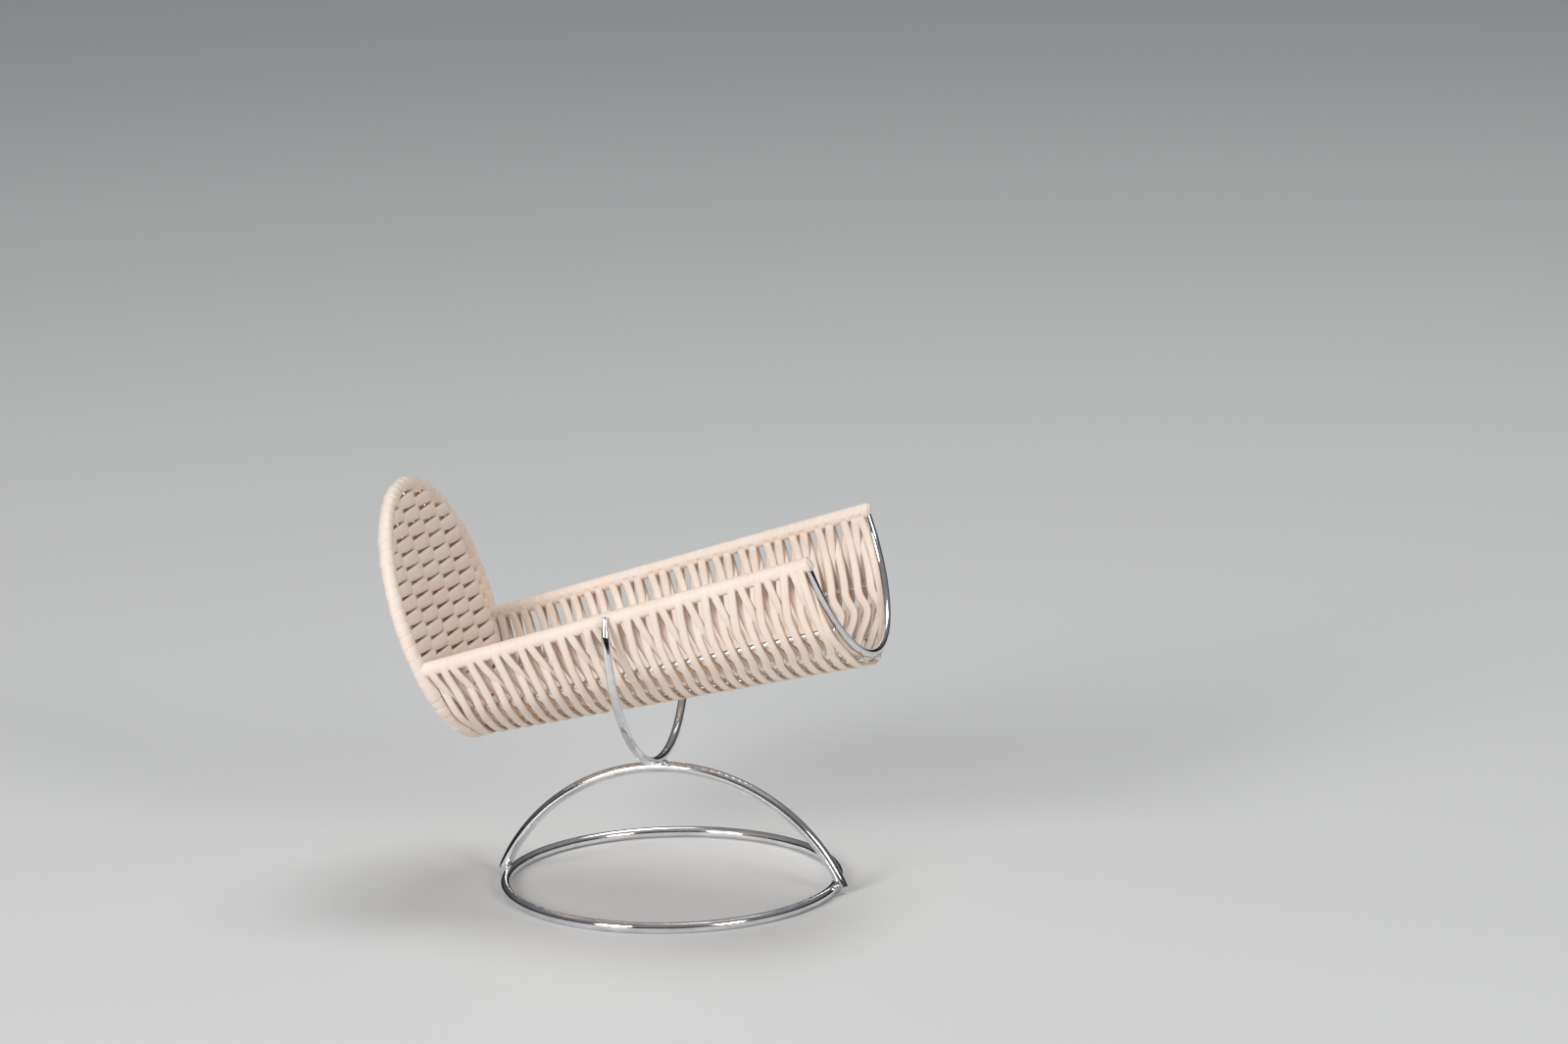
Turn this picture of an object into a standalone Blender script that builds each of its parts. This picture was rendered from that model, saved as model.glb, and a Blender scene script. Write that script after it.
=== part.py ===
"""Wine bottle basket: a corded wire cradle held at a slant by a hoop on an arched ring stand.

All lengths are in metres and +Z is up. The neck of the bottle would point along +X.
"""
import math

import bmesh
import bpy
from mathutils import Matrix, Vector

# Fit between pieces
SEAT_GAP = 0.0003
CUT_OVERRUN = 0.0040

# Stand: a ring on the table, an arch over its diameter, a hoop across the top of the arch
RING_RADIUS = 0.0656
RING_WIRE_RADIUS = 0.0022
ARCH_WIRE_RADIUS = 0.0022
ARCH_HEIGHT = 0.0475
ARCH_FOOT_OVERHANG = 0.0033
ARCH_FOOT_RISE = 0.0014
ARCH_END_RISE = 0.0008
HOOP_WIRE_RADIUS = 0.0017
HOOP_TIP_RADIUS = 0.00075
HOOP_SETBACK = 0.0028
HOOP_LEAN = math.radians(6.0)
HOOP_TIP_ANGLE = math.radians(109.0)

# Cradle: heights are above the line on which the bottle lies
CRADLE_TILT = math.radians(12.8)
CRADLE_LENGTH = 0.1650
HOOP_STATION = 0.0770
HOOP_TIP_RISE = 0.0019
RIM_WIRE_RADIUS = 0.0014
RAIL_WIRE_RADIUS = 0.0011
RIM_REAR_HEIGHT = 0.0311
RIM_FRONT_HEIGHT = 0.0452
CORD_THICKNESS = 0.0012
WRAP_THICKNESS = 0.0014

# Front wire: a half oval that leans back; its bottom is a drop below the bottle's line
FRONT_WIRE_RADIUS = 0.0015
FRONT_HALF_WIDTH = 0.0453
FRONT_DEPTH = 0.0482
FRONT_DROP = 0.0015
FRONT_LEAN = math.radians(7.0)

# End plate: a standing oval that leans back, its bottom a drop below the bottle's line
PLATE_WIRE_RADIUS = 0.0015
PLATE_HALF_WIDTH = 0.0470
PLATE_HALF_HEIGHT = 0.0504
PLATE_DROP = 0.0040
PLATE_LEAN = math.radians(5.7)
STAKE_WIRE_RADIUS = 0.0010
STAKES_PER_SIDE = 2
# The outer stakes stand this far inside the sides of the oval, the others between them
STAKE_MARGIN = 0.0134
PLATE_CORD_THICKNESS = 0.0015
ROW_PITCH = 0.0028

# Rails, as shares of the way round from the bottom of the trough to its rim
MID_RAIL_REAR_SHARE = 0.61
MID_RAIL_FRONT_SHARE = 0.62
LOW_RAIL_REAR_SHARE = 0.21
LOW_RAIL_FRONT_SHARE = 0.28

# Strands of the trough's outer layer: where the first one lies on the bottom, a low rail, a mid
# rail and a rim, from the end plate, and how far on the next one lies
BOTTOM_STRAND_FIRST = 0.0009
LOW_STRAND_FIRST = 0.0016
MID_STRAND_FIRST = 0.0045
RIM_STRAND_FIRST = 0.0052
BOTTOM_STRAND_PITCH = 0.0052
LOW_STRAND_PITCH = 0.0052
MID_STRAND_PITCH = 0.00535
RIM_STRAND_PITCH = 0.00553
# The inner strand that shares a place on the rim is this many pitches ahead further down
OUTER_LEAD_SHARES = (0.0, 0.0, 0.0, 0.0)
INNER_LEAD_SHARES = (1.6, 1.4, 0.6, 0.0)
# The valleys between the strands are deep above this share of the girth, where the mid rails show
# in them; further down a thin cover of cord is left over the rails
OPEN_VALLEY_SHARE = 0.45
VALLEY_HALF_THICKNESS = 0.0006
COVER_THICKNESS = 0.0004

# The row of open gaps between the cords, just under each rim, in every second valley
VALLEYS_PER_GAP = 2
RIM_GAP_DEPTH = 0.0065
RIM_GAP_TOP_WIDTH = 0.0032
RIM_GAP_FOOT_WIDTH = 0.0011

# Facets
RING_SEGMENTS = 64
RING_SIDES = 10
WIRE_BEVEL_STEPS = 2
ARC_SEGMENTS = 32
OVAL_SEGMENTS = 48
GIRTH_SEGMENTS = 14
EDGE_SEGMENTS = 3
TANGENT_STEP = math.radians(0.5)

# Across the basket, left is +Y
SIDES = {"left": 1.0, "right": -1.0}

for stale in list(bpy.data.objects):
    bpy.data.objects.remove(stale, do_unlink=True)

parts = bpy.data.collections.new("wine_bottle_basket")
cutters = bpy.data.collections.new("cutters")
for collection in (parts, cutters):
    bpy.context.scene.collection.children.link(collection)


def make_material(name, color, metallic, roughness):
    material = bpy.data.materials.new(name)
    material.use_nodes = True
    shader = material.node_tree.nodes["Principled BSDF"]
    shader.inputs["Base Color"].default_value = (*color, 1.0)
    shader.inputs["Metallic"].default_value = metallic
    shader.inputs["Roughness"].default_value = roughness
    material.diffuse_color = (*color, 1.0)
    return material


def chrome(piece_name):
    return make_material(piece_name + "_chrome", (0.78, 0.78, 0.80), 1.0, 0.10)


def ivory_cord(piece_name):
    return make_material(piece_name + "_cord", (0.86, 0.78, 0.68), 0.0, 0.55)


def make_empty(name, parent=None, location=(0.0, 0.0, 0.0), rotation=(0.0, 0.0, 0.0)):
    empty = bpy.data.objects.new(name, None)
    empty.parent = parent
    empty.location = location
    empty.rotation_euler = rotation
    parts.objects.link(empty)
    return empty


def new_curve(name, points, radius, parent, closed=False, radius_shares=None):
    """A round wire through the points, with filled ends where it is open."""
    curve = bpy.data.curves.new(name, "CURVE")
    curve.dimensions = "3D"
    curve.bevel_depth = radius
    curve.bevel_resolution = WIRE_BEVEL_STEPS
    curve.use_fill_caps = not closed
    spline = curve.splines.new("POLY")
    spline.points.add(len(points) - 1)
    spline.use_cyclic_u = closed
    spline.use_smooth = True
    for index, point in enumerate(points):
        spline.points[index].co = (*point, 1.0)
        if radius_shares:
            spline.points[index].radius = radius_shares[index]
    wire = bpy.data.objects.new(name, curve)
    wire.parent = parent
    return wire


def add_wire(name, points, radius, parent, **options):
    wire = new_curve(name, points, radius, parent, **options)
    wire.data.materials.append(chrome(name))
    parts.objects.link(wire)
    return wire


def tidy_mesh(mesh):
    """Weld the loose ends, turn the faces out and shade the round faces smooth."""
    shape = bmesh.new()
    shape.from_mesh(mesh)
    bmesh.ops.remove_doubles(shape, verts=shape.verts, dist=SEAT_GAP / 10.0)
    bmesh.ops.recalc_face_normals(shape, faces=shape.faces)
    shape.to_mesh(mesh)
    shape.free()
    mesh.shade_smooth()
    mesh.set_sharp_from_angle(angle=math.radians(50.0))


def mesh_from_curve(curve, collection):
    """Swap a curve for the closed mesh of it, so that it can be cut or can cut."""
    collection.objects.link(curve)
    bpy.context.view_layer.update()
    graph = bpy.context.evaluated_depsgraph_get()
    mesh = bpy.data.meshes.new_from_object(curve.evaluated_get(graph))
    tidy_mesh(mesh)
    name = curve.name
    curve.name = name + "_path"
    solid = bpy.data.objects.new(name, mesh)
    solid.parent = curve.parent
    solid.matrix_world = curve.matrix_world
    bpy.data.objects.remove(curve, do_unlink=True)
    collection.objects.link(solid)
    return solid


def mesh_from_shape(name, shape, parent, collection):
    mesh = bpy.data.meshes.new(name)
    shape.to_mesh(mesh)
    shape.free()
    tidy_mesh(mesh)
    solid = bpy.data.objects.new(name, mesh)
    solid.parent = parent
    collection.objects.link(solid)
    return solid


def hide_cutter(cutter):
    cutter.hide_render = True
    cutter.display_type = "WIRE"
    return cutter


def cutter_tube(name, points, radius, parent, **options):
    """The room that a wire needs in what it runs through."""
    wire = new_curve(name + "_room", points, radius + SEAT_GAP, parent, **options)
    return hide_cutter(mesh_from_curve(wire, cutters))


def cut(piece, cutter):
    modifier = piece.modifiers.new("cut_by_" + cutter.name, "BOOLEAN")
    modifier.operation = "DIFFERENCE"
    modifier.solver = "EXACT"
    modifier.object = cutter


# Every piece hangs from one empty at the centre of the ring
stand = make_empty("stand_centre")


def ring_centre_height():
    """The faceted ring wire has a flat facet at its bottom, which lies on the table."""
    return RING_WIRE_RADIUS * math.cos(math.pi / RING_SIDES)


def ring_torus(name, wire_radius, collection):
    bpy.ops.mesh.primitive_torus_add(
        major_radius=RING_RADIUS, minor_radius=wire_radius,
        major_segments=RING_SEGMENTS, minor_segments=RING_SIDES,
    )
    ring = bpy.context.object
    ring.name = name
    ring.data.name = name
    for owner in list(ring.users_collection):
        owner.objects.unlink(ring)
    collection.objects.link(ring)
    ring.parent = stand
    ring.location = (0.0, 0.0, ring_centre_height())
    tidy_mesh(ring.data)
    return ring


def make_base_ring():
    ring = ring_torus("base_ring", RING_WIRE_RADIUS, parts)
    ring.data.materials.append(chrome("base_ring"))


def arch_circle():
    """Radius and centre height of the circle that the arch is a piece of."""
    reach = RING_RADIUS + ARCH_FOOT_OVERHANG
    rise = ARCH_HEIGHT - ring_centre_height() - ARCH_FOOT_RISE
    radius = (reach ** 2 + rise ** 2) / (2.0 * rise)
    return radius, ARCH_HEIGHT - radius


def make_arch():
    """The arch's feet are cut level and hollowed to sit over the ring's outer edge."""
    radius, centre_height = arch_circle()
    last_angle = math.acos((-ARCH_WIRE_RADIUS - centre_height) / radius)
    angles = [last_angle * (2.0 * step / ARC_SEGMENTS - 1.0) for step in range(ARC_SEGMENTS + 1)]
    points = [
        (radius * math.sin(angle), 0.0, centre_height + radius * math.cos(angle))
        for angle in angles
    ]
    curve = new_curve("arch", points, ARCH_WIRE_RADIUS, stand)
    arch = mesh_from_curve(curve, parts)
    arch.data.materials.append(chrome("arch"))

    cut(arch, hide_cutter(ring_torus("ring_room", RING_WIRE_RADIUS + SEAT_GAP, cutters)))

    end_height = ring_centre_height() + ARCH_END_RISE
    reach = points[-1][0] + CUT_OVERRUN
    depth = end_height + ARCH_WIRE_RADIUS * 2.0 + CUT_OVERRUN
    block = bmesh.new()
    bmesh.ops.create_cube(block, size=1.0)
    bmesh.ops.scale(block, verts=block.verts, vec=(2.0 * reach, 2.0 * CUT_OVERRUN, depth))
    bmesh.ops.translate(block, verts=block.verts, vec=(0.0, 0.0, end_height - depth / 2.0))
    cut(arch, hide_cutter(mesh_from_shape("foot_level", block, stand, cutters)))


def plate_point(across, up):
    """A point of the end plate's leaning plane, in the cradle's own frame."""
    return Vector((-up * math.sin(PLATE_LEAN), across, up * math.cos(PLATE_LEAN)))


def front_point(across, up):
    """A point of the front wire's leaning plane, in the cradle's own frame."""
    return Vector((CRADLE_LENGTH - up * math.sin(FRONT_LEAN), across, up * math.cos(FRONT_LEAN)))


class Oval:
    """An upright oval in one of the two leaning planes; angles start at its bottom."""

    def __init__(self, half_width, half_height, drop, rim_height, place):
        self.half_width = half_width
        self.half_height = half_height
        self.centre = half_height - drop
        self.place = place
        self.rim_angle = self.angle_at(rim_height)

    def angle_at(self, height):
        return math.acos((self.centre - height) / self.half_height)

    def point(self, angle, outward=0.0):
        """The point at an angle, moved outward square to the oval."""
        normal = Vector((self.half_height * math.sin(angle), -self.half_width * math.cos(angle)))
        normal.normalize()
        across = self.half_width * math.sin(angle) + normal.x * outward
        up = self.centre - self.half_height * math.cos(angle) + normal.y * outward
        return self.place(across, up)

    def girth_point(self, share, outward=0.0):
        """The point at a share of the way from the bottom, 0, to a rim, 1 or -1."""
        return self.point(share * self.rim_angle, outward)


plate_oval = Oval(
    PLATE_HALF_WIDTH, PLATE_HALF_HEIGHT, PLATE_DROP, RIM_REAR_HEIGHT, plate_point
)
front_oval = Oval(
    FRONT_HALF_WIDTH, FRONT_DEPTH, FRONT_DROP, RIM_FRONT_HEIGHT, front_point
)

RIM_WRAP_RADIUS = RIM_WIRE_RADIUS + WRAP_THICKNESS
BORDER_WRAP_RADIUS = PLATE_WIRE_RADIUS + WRAP_THICKNESS
WEAVE_HALF_THICKNESS = RAIL_WIRE_RADIUS + CORD_THICKNESS
STAKE_SPACING = (PLATE_HALF_WIDTH - STAKE_MARGIN) / STAKES_PER_SIDE
STRAND_COUNT = int((CRADLE_LENGTH - MID_STRAND_FIRST) / MID_STRAND_PITCH)


def rim_at_hoop():
    """The rim wire's point where the hoop's tip lies against it, in the cradle's frame."""
    rear = plate_oval.girth_point(1.0)
    front = front_oval.girth_point(1.0)
    share = (HOOP_STATION - rear.x) / (front.x - rear.x)
    return rear.lerp(front, share)


def hoop_radius():
    """The hoop's tips press the cord round the two rim wires from outside."""
    tip_reach = rim_at_hoop().y + RIM_WRAP_RADIUS + SEAT_GAP + HOOP_TIP_RADIUS
    return tip_reach / math.sin(HOOP_TIP_ANGLE)


def hoop_foot():
    """The hoop's lowest point on its centre line, just above the arch."""
    radius, centre_height = arch_circle()
    slope = math.asin(HOOP_SETBACK / radius)
    distance = ARCH_WIRE_RADIUS + HOOP_WIRE_RADIUS + SEAT_GAP
    height = centre_height + radius * math.cos(slope) + distance / math.cos(slope)
    return Vector((-HOOP_SETBACK, 0.0, height))


def hoop_point(angle):
    radius = hoop_radius()
    up = radius * (1.0 - math.cos(angle))
    return hoop_foot() + Vector((
        -up * math.sin(HOOP_LEAN), radius * math.sin(angle), up * math.cos(HOOP_LEAN)
    ))


def make_hoop():
    """A round wire, open at the top, thinned at its two tips."""
    steps = range(-ARC_SEGMENTS // 2, ARC_SEGMENTS // 2 + 1)
    angles = [HOOP_TIP_ANGLE * 2.0 * step / ARC_SEGMENTS for step in steps]
    thinned = HOOP_TIP_RADIUS / HOOP_WIRE_RADIUS
    shares = [1.0] * len(angles)
    shares[0] = shares[-1] = thinned
    add_wire(
        "hoop", [hoop_point(angle) for angle in angles], HOOP_WIRE_RADIUS, stand,
        radius_shares=shares,
    )


def make_cradle_frame():
    """The cradle's own frame: +X along the bottle, origin under the foot of the end plate."""
    tilt = Matrix.Rotation(-CRADLE_TILT, 3, "Y")
    held = rim_at_hoop() + Vector((0.0, 0.0, HOOP_TIP_RISE))
    held.y = 0.0
    tip = hoop_point(HOOP_TIP_ANGLE)
    tip.y = 0.0
    return make_empty("cradle_frame", stand, tip - tilt @ held, (0.0, -CRADLE_TILT, 0.0))


def stand_off(other_radius, own_radius, angle):
    """How far a flat-ended wire stops from the centre line of the wire it meets at an angle."""
    return (other_radius + SEAT_GAP) / math.cos(angle) + own_radius * math.tan(abs(angle))


def shorten(start, end, start_cut, end_cut):
    along = (end - start).normalized()
    return [start + along * start_cut, end - along * end_cut]


def no_seat(share):
    return 0.0


def front_seat(share):
    """How far outside the front wire the rails and the weave pass it: not at all at the rims."""
    seat = FRONT_WIRE_RADIUS + SEAT_GAP + RAIL_WIRE_RADIUS
    return seat * min(1.0, (1.0 - abs(share)) / (1.0 - MID_RAIL_FRONT_SHARE))


def make_front_wire():
    """The bare half oval at the mouth; its two ends stop just under the rim wires."""
    end_height = RIM_FRONT_HEIGHT - RIM_WIRE_RADIUS - SEAT_GAP
    end_angle = front_oval.angle_at(end_height)
    angles = [end_angle * (2.0 * step / ARC_SEGMENTS - 1.0) for step in range(ARC_SEGMENTS + 1)]
    points = [front_oval.point(angle) for angle in angles]
    add_wire("front_wire", points, FRONT_WIRE_RADIUS, cradle)


def plate_ring_points():
    turn = 2.0 * math.pi / OVAL_SEGMENTS
    return [plate_oval.point(turn * step) for step in range(OVAL_SEGMENTS)]


def make_plate_frame():
    add_wire("plate_frame", plate_ring_points(), PLATE_WIRE_RADIUS, cradle, closed=True)


def make_long_wires():
    """Rims and rails run from the end plate's frame to the front wire, the rails to its outside.

    Returns the room that each of them needs in the cord round it.
    """
    rear_stop = PLATE_WIRE_RADIUS, PLATE_LEAN
    lines = {"bottom_rail": (0.0, 0.0)}
    for side, sign in SIDES.items():
        lines["low_rail_" + side] = (sign * LOW_RAIL_REAR_SHARE, sign * LOW_RAIL_FRONT_SHARE)
        lines["mid_rail_" + side] = (sign * MID_RAIL_REAR_SHARE, sign * MID_RAIL_FRONT_SHARE)
    rooms = []
    for name, (rear_share, front_share) in lines.items():
        rear = plate_oval.girth_point(rear_share)
        front = front_oval.girth_point(front_share, front_seat(front_share))
        points = shorten(
            rear, front, stand_off(rear_stop[0], RAIL_WIRE_RADIUS, rear_stop[1]), 0.0,
        )
        add_wire(name, points, RAIL_WIRE_RADIUS, cradle)
        rooms.append(cutter_tube(name, [rear, front], RAIL_WIRE_RADIUS, cradle))
    for side, sign in SIDES.items():
        rear = plate_oval.girth_point(sign)
        front = front_oval.girth_point(sign)
        points = shorten(
            rear, front,
            stand_off(rear_stop[0], RIM_WIRE_RADIUS, rear_stop[1]), -FRONT_WIRE_RADIUS,
        )
        name = "rim_wire_" + side
        add_wire(name, points, RIM_WIRE_RADIUS, cradle)
        beyond = shorten(rear, front, 0.0, -CUT_OVERRUN)
        rooms.append(cutter_tube(name, beyond, RIM_WIRE_RADIUS, cradle))
    return rooms


def make_stakes():
    """Upright wires across the end plate; returns the room that each needs in the cord."""
    rooms = []
    for step in range(-STAKES_PER_SIDE, STAKES_PER_SIDE + 1):
        across = step * STAKE_SPACING
        angle = math.asin(across / PLATE_HALF_WIDTH)
        low = plate_oval.point(angle)
        high = plate_oval.point(math.pi - angle)
        slope = math.atan2(PLATE_HALF_HEIGHT * math.sin(angle), PLATE_HALF_WIDTH * math.cos(angle))
        stop = stand_off(PLATE_WIRE_RADIUS, STAKE_WIRE_RADIUS, slope)
        name = "plate_stake_{}".format(step + STAKES_PER_SIDE + 1)
        add_wire(name, shorten(low, high, stop, stop), STAKE_WIRE_RADIUS, cradle)
        rooms.append(cutter_tube(name, [low, high], STAKE_WIRE_RADIUS, cradle))
    return rooms


def make_plate_border(rooms):
    """The cord wound round the plate's frame, bored for the frame and what meets it."""
    curve = new_curve("plate_border", plate_ring_points(), BORDER_WRAP_RADIUS, cradle, closed=True)
    border = mesh_from_curve(curve, parts)
    border.data.materials.append(ivory_cord("plate_border"))
    frame_room = cutter_tube(
        "plate_frame", plate_ring_points(), PLATE_WIRE_RADIUS, cradle, closed=True
    )
    for room in [frame_room] + rooms:
        cut(border, room)


def weave_columns():
    """Places across the end plate: the stakes, the middles between them, and the border."""
    halves = 2 * STAKES_PER_SIDE
    inner = [step * STAKE_SPACING / 2.0 for step in range(-halves, halves + 1)]
    return [-PLATE_HALF_WIDTH] + inner + [PLATE_HALF_WIDTH]


def weave_row(row, rows):
    """One cord of the end plate, before and behind the stakes by turns: its middle line."""
    inset = BORDER_WRAP_RADIUS + SEAT_GAP
    rise_share = 2.0 * row / rows - 1.0
    reach = (PLATE_HALF_WIDTH - inset) * math.sqrt(1.0 - rise_share ** 2)
    up = plate_oval.centre + (PLATE_HALF_HEIGHT - inset) * rise_share
    out = Vector((math.cos(PLATE_LEAN), 0.0, math.sin(PLATE_LEAN)))
    turn = 1.0 if row % 2 else -1.0
    line = []
    for across in weave_columns():
        depth = 0.0
        if abs(across) + STAKE_WIRE_RADIUS + PLATE_CORD_THICKNESS < reach:
            wave = math.cos(math.pi * across / STAKE_SPACING)
            depth = turn * wave * (STAKE_WIRE_RADIUS + PLATE_CORD_THICKNESS / 2.0)
        line.append(plate_point(max(-reach, min(reach, across)), up) - out * depth)
    return line, out * (PLATE_CORD_THICKNESS / 2.0)


def loft(loops):
    """A closed skin over loops of as many points each, its first and last loop filled.

    Both sides of a sheet are split along the same diagonals, so that they never cross.
    """
    shape = bmesh.new()
    rings = [[shape.verts.new(point) for point in loop] for loop in loops]
    count = len(rings[0])
    for lower, upper in zip(rings, rings[1:]):
        for index in range(count):
            after = (index + 1) % count
            near, far = (index, after) if 2 * index < count else (after, index)
            shape.faces.new((lower[index], lower[after], upper[far]))
            shape.faces.new((lower[near], upper[after], upper[index]))
    shape.faces.new(list(reversed(rings[0])))
    shape.faces.new(rings[-1])
    return shape


def make_plate_weave(rooms):
    """The woven field of the end plate: rows of cord that hold the stakes between them."""
    rows = int(2.0 * (PLATE_HALF_HEIGHT - BORDER_WRAP_RADIUS) / ROW_PITCH)
    loops = []
    for row in range(rows + 1):
        line, half_cord = weave_row(row, rows)
        before = [point - half_cord for point in line]
        behind = [point + half_cord for point in reversed(line)]
        loops.append(before + behind)
    weave = mesh_from_shape("plate_weave", loft(loops), cradle, parts)
    weave.data.materials.append(ivory_cord("plate_weave"))
    for room in rooms:
        cut(weave, room)


def strand_place(number, girth, lead_shares):
    """How far from the end plate a strand lies, at a share of the way round to a rim."""
    rows = (
        (0.0, 0.0, BOTTOM_STRAND_FIRST, BOTTOM_STRAND_PITCH),
        (LOW_RAIL_REAR_SHARE, LOW_RAIL_FRONT_SHARE, LOW_STRAND_FIRST, LOW_STRAND_PITCH),
        (MID_RAIL_REAR_SHARE, MID_RAIL_FRONT_SHARE, MID_STRAND_FIRST, MID_STRAND_PITCH),
        (1.0, 1.0, RIM_STRAND_FIRST, RIM_STRAND_PITCH),
    )
    along_share = (MID_STRAND_FIRST + number * MID_STRAND_PITCH) / CRADLE_LENGTH
    stops = []
    for (rear, front, first, pitch), lead in zip(rows, lead_shares):
        stops.append((rear + (front - rear) * along_share, first + pitch * (number + lead)))
    for (low, start), (high, end) in zip(stops, stops[1:]):
        if abs(girth) <= high:
            break
    return start + (end - start) * (abs(girth) - low) / (high - low)


def trough_marks():
    """Round the trough's section: each point's girth share, and its layer's lead."""
    shares = [2.0 * step / GIRTH_SEGMENTS - 1.0 for step in range(1, GIRTH_SEGMENTS)]
    outer = [(share, OUTER_LEAD_SHARES) for share in shares]
    inner = [(share, INNER_LEAD_SHARES) for share in reversed(shares)]
    edge = EDGE_SEGMENTS + 1
    left, right = (1.0, OUTER_LEAD_SHARES), (-1.0, OUTER_LEAD_SHARES)
    return outer + [left] * edge + inner + [right] * edge


def ridge_half_thickness(girth):
    return WEAVE_HALF_THICKNESS


def valley_half_thickness(girth):
    if abs(girth) < OPEN_VALLEY_SHARE:
        return RAIL_WIRE_RADIUS + SEAT_GAP + COVER_THICKNESS
    return VALLEY_HALF_THICKNESS


def trough_section(oval, seat, half_thickness):
    """The section in the plane of one oval, with a round edge at each rim wire."""
    shares = [2.0 * step / GIRTH_SEGMENTS - 1.0 for step in range(1, GIRTH_SEGMENTS)]

    def edge(sign):
        turns = [math.pi * step / EDGE_SEGMENTS for step in range(EDGE_SEGMENTS + 1)]
        centre = oval.girth_point(sign)
        out = (oval.girth_point(sign, SEAT_GAP) - centre).normalized()
        onward = (oval.point(sign * (oval.rim_angle + TANGENT_STEP)) - centre).normalized()
        return [
            centre + (out * math.cos(turn) + onward * math.sin(turn)) * RIM_WRAP_RADIUS
            for turn in turns
        ]

    start = [oval.girth_point(share, seat(share) + half_thickness(share)) for share in shares]
    back = [
        oval.girth_point(share, seat(share) - half_thickness(share)) for share in reversed(shares)
    ]
    return start + edge(1.0) + back + list(reversed(edge(-1.0)))


def trough_loop(number, ridge_lines, lines):
    """The section along one strand, or one valley; past either end it runs along that end."""
    rear_gap = (BORDER_WRAP_RADIUS + SEAT_GAP) / math.cos(PLATE_LEAN)
    front_gap = (FRONT_WIRE_RADIUS + SEAT_GAP) / math.cos(FRONT_LEAN)
    loop = []
    for (girth, leads), ridge_line, line in zip(trough_marks(), ridge_lines, lines):
        length = (ridge_line[1] - ridge_line[0]).length
        first, last = rear_gap / length, 1.0 - front_gap / length
        along = strand_place(number, girth, leads) / CRADLE_LENGTH
        if first < along < last:
            loop.append(line[0].lerp(line[1], along))
        else:
            loop.append(ridge_line[0].lerp(ridge_line[1], max(first, min(last, along))))
    return loop


def make_trough_weave(rooms):
    """The woven trough: ridges for the strands, which lean one way outside, one way inside."""
    lines = []
    for half_thickness in (ridge_half_thickness, valley_half_thickness):
        rear = trough_section(plate_oval, no_seat, half_thickness)
        front = trough_section(front_oval, front_seat, half_thickness)
        lines.append(list(zip(rear, front)))
    ahead = math.ceil(max(INNER_LEAD_SHARES)) + 1
    loops = []
    for step in range(-2 * ahead, 2 * (STRAND_COUNT + ahead) + 1):
        loops.append(trough_loop(step / 2.0, lines[0], lines[step % 2]))
    weave = mesh_from_shape("trough_weave", loft(loops), cradle, parts)
    weave.data.materials.append(ivory_cord("trough_weave"))
    for room in rooms:
        cut(weave, room)
    for side, sign in SIDES.items():
        cut(weave, make_rim_gaps("rim_gaps_" + side, sign))


def make_rim_gaps(name, sign):
    """Wedges for the gaps under one rim, wide at the rim and narrow at their foot."""
    rear_rim = plate_oval.girth_point(sign)
    front_rim = front_oval.girth_point(sign)
    centre_drop = RIM_WRAP_RADIUS + RIM_GAP_DEPTH / 2.0
    half_girth = plate_oval.rim_angle * (PLATE_HALF_WIDTH + PLATE_HALF_HEIGHT) / 2.0
    share = sign * (1.0 - centre_drop / half_girth)
    rear_low = plate_oval.girth_point(share)
    front_low = front_oval.girth_point(share)
    shape = bmesh.new()
    for strand in range(0, STRAND_COUNT - VALLEYS_PER_GAP, VALLEYS_PER_GAP):
        along_share = strand_place(strand + 0.5, sign, OUTER_LEAD_SHARES) / CRADLE_LENGTH
        middle = rear_low.lerp(front_low, along_share)
        along = (front_low - rear_low).normalized()
        down = (middle - rear_rim.lerp(front_rim, along_share)).normalized()
        out = along.cross(down).normalized()
        down = out.cross(along)
        wedge = bmesh.ops.create_cube(shape, size=1.0)["verts"]
        for corner in wedge:
            width = RIM_GAP_FOOT_WIDTH if corner.co.y > 0.0 else RIM_GAP_TOP_WIDTH
            corner.co = (
                middle + along * (corner.co.x * width) + down * (corner.co.y * RIM_GAP_DEPTH)
                + out * (corner.co.z * (2.0 * WEAVE_HALF_THICKNESS + CUT_OVERRUN))
            )
    return hide_cutter(mesh_from_shape(name, shape, cradle, cutters))


def world_points(piece, graph):
    evaluated = piece.evaluated_get(graph)
    mesh = evaluated.to_mesh()
    points = [evaluated.matrix_world @ vertex.co for vertex in mesh.vertices]
    evaluated.to_mesh_clear()
    return points


def centre_on_origin():
    """Move the whole object so that its box is centred over the origin along X."""
    bpy.context.view_layer.update()
    graph = bpy.context.evaluated_depsgraph_get()
    along = [
        point.x for piece in parts.objects if piece.type != "EMPTY"
        for point in world_points(piece, graph)
    ]
    stand.location.x = -(min(along) + max(along)) / 2.0
    bpy.context.view_layer.update()


make_base_ring()
make_arch()
make_hoop()
cradle = make_cradle_frame()
bpy.context.view_layer.update()
make_front_wire()
make_plate_frame()
long_rooms = make_long_wires()
stake_rooms = make_stakes()
make_plate_border(long_rooms + stake_rooms)
make_plate_weave(stake_rooms)
make_trough_weave(long_rooms)
centre_on_origin()
print("stand centre moved to x = {:.6f}".format(stand.location.x))
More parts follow.
